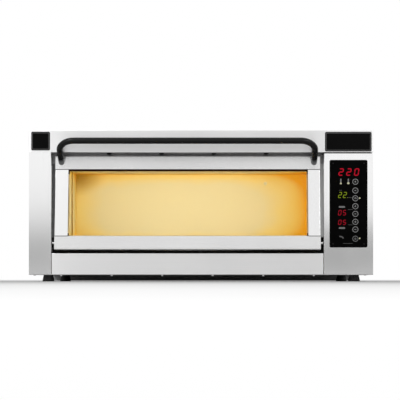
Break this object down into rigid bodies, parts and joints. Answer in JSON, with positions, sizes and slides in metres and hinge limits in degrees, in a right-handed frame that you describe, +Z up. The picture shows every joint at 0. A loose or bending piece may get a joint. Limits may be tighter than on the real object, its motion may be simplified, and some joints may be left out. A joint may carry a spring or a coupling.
{
  "type": "pizza oven",
  "caption": "Counter-top electric deck pizza oven in brushed steel, with a leaning drop-down glass door, a black tube handle and a keypad panel beside the door.",
  "frame": {"origin": "middle of the whole object's box at the level the feet stand on", "axes": "+X to the viewer's right along the width, -Y out of the door, +Z up"},
  "size_m": [1.04, 0.6704, 0.457],
  "materials": {
    "brushed_steel": "satin",
    "zinc_steel": "satin",
    "mouth_steel": "satin",
    "chamber_steel": "satin",
    "hearth_stone": "matte",
    "element_alloy": "matte",
    "insulation_wool": "matte",
    "door_glass": "gloss",
    "bulb_glass": "gloss",
    "spacer_aluminium": "matte",
    "seal": "matte",
    "black_tube": "satin",
    "bright_steel": "polished",
    "bush_bronze": "satin",
    "foot_rubber": "matte",
    "panel_black": "gloss",
    "key_plastic": "satin",
    "circuit_board": "satin",
    "display_plastic": "gloss",
    "switchgear_plastic": "matte",
    "gland_plastic": "matte"
  },
  "bodies": {
    "oven_body": {"left_side_panel": "brushed_steel", "right_side_cover": "brushed_steel", "control_box_front": "brushed_steel", "top_fascia": "brushed_steel", "top_cover": "brushed_steel", "lower_fascia": "brushed_steel", "rear_panel": "brushed_steel", "exhaust_spigot": "brushed_steel", "base_tray": "zinc_steel", "compartment_wall": "zinc_steel", "hearth_support": "zinc_steel", "mouth_left_bar": "mouth_steel", "mouth_right_bar": "mouth_steel", "mouth_top_bar": "mouth_steel", "deck_sill": "mouth_steel", "chamber_ceiling": "chamber_steel", "chamber_left_wall": "chamber_steel", "chamber_right_wall": "chamber_steel", "chamber_back_wall": "chamber_steel", "hearth_stone_left": "hearth_stone", "hearth_stone_right": "hearth_stone", "top_elements": "element_alloy", "bottom_elements": "element_alloy", "insulation": "insulation_wool", "lamp_lens": "door_glass", "lamp_bulb": "bulb_glass", "temperature_probe": "bright_steel", "lamp_housing": "bright_steel", "hinge_bushes": "bush_bronze", "foot_front_left": "foot_rubber", "foot_front_right": "foot_rubber", "foot_rear_left": "foot_rubber", "foot_rear_right": "foot_rubber", "control_panel_plate": "panel_black", "control_board": "circuit_board", "display_modules": "display_plastic", "contactors": "switchgear_plastic", "terminal_block": "switchgear_plastic", "cable_gland": "gland_plastic"},
    "door": {"door_top_rail": "brushed_steel", "door_bottom_rail": "brushed_steel", "door_left_stile": "brushed_steel", "door_right_stile": "brushed_steel", "door_inner_frame": "mouth_steel", "door_outer_glass": "door_glass", "door_inner_glass": "door_glass", "glass_spacer": "spacer_aluminium", "door_gasket": "seal", "door_handle": "black_tube", "handle_sockets": "black_tube", "hinge_blocks": "zinc_steel", "hinge_pins": "bright_steel"},
    "temperature_up_key": {"key_temperature_up": "key_plastic"},
    "temperature_down_key": {"key_temperature_down": "key_plastic"},
    "select_key": {"key_select": "key_plastic"},
    "top_heat_up_key": {"key_top_heat_up": "key_plastic"},
    "top_heat_down_key": {"key_top_heat_down": "key_plastic"},
    "bottom_heat_up_key": {"key_bottom_heat_up": "key_plastic"},
    "bottom_heat_down_key": {"key_bottom_heat_down": "key_plastic"},
    "power_key": {"key_power": "key_plastic"}
  },
  "joints": [
    {"name": "door_hinge", "type": "hinge", "parent": "oven_body", "child": "door", "pos_m": [-0.0405, -0.25882, 0.116], "axis": [1, 0, 0], "range_deg": [0, 95]},
    {"name": "temperature_up_key_press", "type": "slide", "parent": "oven_body", "child": "temperature_up_key", "axis": [0, 1, 0], "range_m": [0, 0.0006], "stiffness_N_per_m": 400, "springref_m": -0.001},
    {"name": "temperature_down_key_press", "type": "slide", "parent": "oven_body", "child": "temperature_down_key", "axis": [0, 1, 0], "range_m": [0, 0.0006], "stiffness_N_per_m": 400, "springref_m": -0.001},
    {"name": "select_key_press", "type": "slide", "parent": "oven_body", "child": "select_key", "axis": [0, 1, 0], "range_m": [0, 0.0006], "stiffness_N_per_m": 400, "springref_m": -0.001},
    {"name": "top_heat_up_key_press", "type": "slide", "parent": "oven_body", "child": "top_heat_up_key", "axis": [0, 1, 0], "range_m": [0, 0.0006], "stiffness_N_per_m": 400, "springref_m": -0.001},
    {"name": "top_heat_down_key_press", "type": "slide", "parent": "oven_body", "child": "top_heat_down_key", "axis": [0, 1, 0], "range_m": [0, 0.0006], "stiffness_N_per_m": 400, "springref_m": -0.001},
    {"name": "bottom_heat_up_key_press", "type": "slide", "parent": "oven_body", "child": "bottom_heat_up_key", "axis": [0, 1, 0], "range_m": [0, 0.0006], "stiffness_N_per_m": 400, "springref_m": -0.001},
    {"name": "bottom_heat_down_key_press", "type": "slide", "parent": "oven_body", "child": "bottom_heat_down_key", "axis": [0, 1, 0], "range_m": [0, 0.0006], "stiffness_N_per_m": 400, "springref_m": -0.001},
    {"name": "power_key_press", "type": "slide", "parent": "oven_body", "child": "power_key", "axis": [0, 1, 0], "range_m": [0, 0.0006], "stiffness_N_per_m": 400, "springref_m": -0.001}
  ]
}
